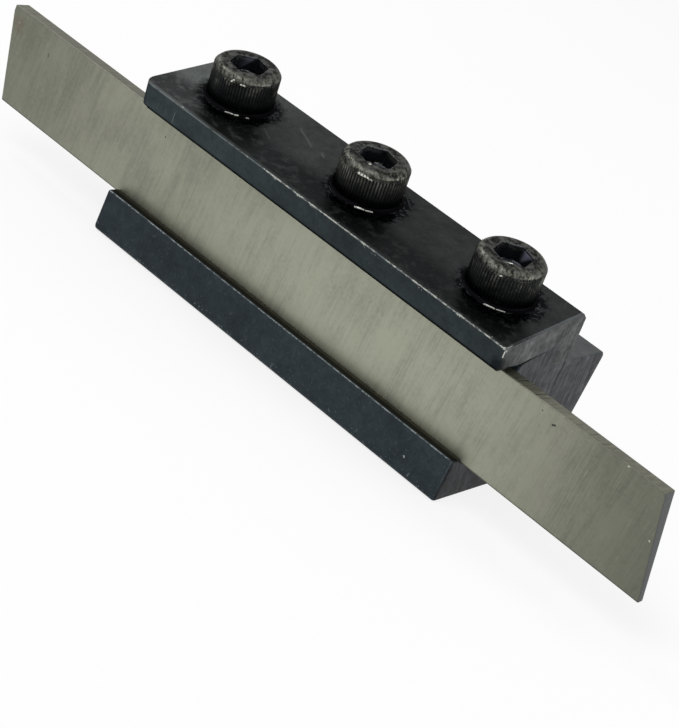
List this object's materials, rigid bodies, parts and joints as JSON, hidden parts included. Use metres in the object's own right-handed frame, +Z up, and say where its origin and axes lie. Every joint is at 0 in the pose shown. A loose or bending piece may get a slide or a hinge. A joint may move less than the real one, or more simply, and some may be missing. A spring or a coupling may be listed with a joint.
{
  "type": "parting blade holder",
  "caption": "Milled steel block that holds a slant-ended cut-off blade on edge in its front groove, under a sloping hooked clamp bar drawn down by socket head cap screws.",
  "frame": {"origin": "middle of the block's flat base", "axes": "+X along the blade, +Y from the blade's side to the back of the block, +Z up, square to the base"},
  "size_m": [0.1154, 0.0276, 0.0295],
  "materials": {
    "black_oxide_steel": "milled steel with a worn blue-black oxide finish and a film of oil",
    "ground_tool_steel": "bare tool steel, surface ground across its length, aged to a warm grey",
    "screw_steel": "black oxide cap screw steel with knurled heads, worn on the rims"
  },
  "bodies": {
    "holder": {"holder_body": "black_oxide_steel"},
    "clamp": {"clamp_bar": "black_oxide_steel"},
    "blade": {"parting_blade": "ground_tool_steel"},
    "screw_1": {"clamp_screw_1": "screw_steel"},
    "screw_2": {"clamp_screw_2": "screw_steel"},
    "screw_3": {"clamp_screw_3": "screw_steel"}
  },
  "joints": [
    {"name": "clamp_lift", "type": "slide", "parent": "holder", "child": "clamp", "axis": [0, -0.1925, 0.9813], "range_m": [0, 0.0016]},
    {"name": "screw_1_turn", "type": "hinge", "parent": "clamp", "child": "screw_1", "pos_m": [-0.02255, -0.00534, 0.02383], "axis": [0, -0.1925, 0.9813], "range_deg": [0, 720]},
    {"name": "screw_2_turn", "type": "hinge", "parent": "clamp", "child": "screw_2", "pos_m": [0.0002, -0.00534, 0.02383], "axis": [0, -0.1925, 0.9813], "range_deg": [0, 720]},
    {"name": "screw_3_turn", "type": "hinge", "parent": "clamp", "child": "screw_3", "pos_m": [0.02215, -0.00534, 0.02383], "axis": [0, -0.1925, 0.9813], "range_deg": [0, 720]},
    {"name": "blade_slide", "type": "slide", "parent": "holder", "child": "blade", "axis": [1, 0, 0], "range_m": [-0.023, 0.023]}
  ],
  "couplings": [
    {"joint": "screw_1_turn", "follows": "clamp_lift", "rad_per_m": 7854},
    {"joint": "screw_2_turn", "follows": "clamp_lift", "rad_per_m": 7854},
    {"joint": "screw_3_turn", "follows": "clamp_lift", "rad_per_m": 7854}
  ]
}
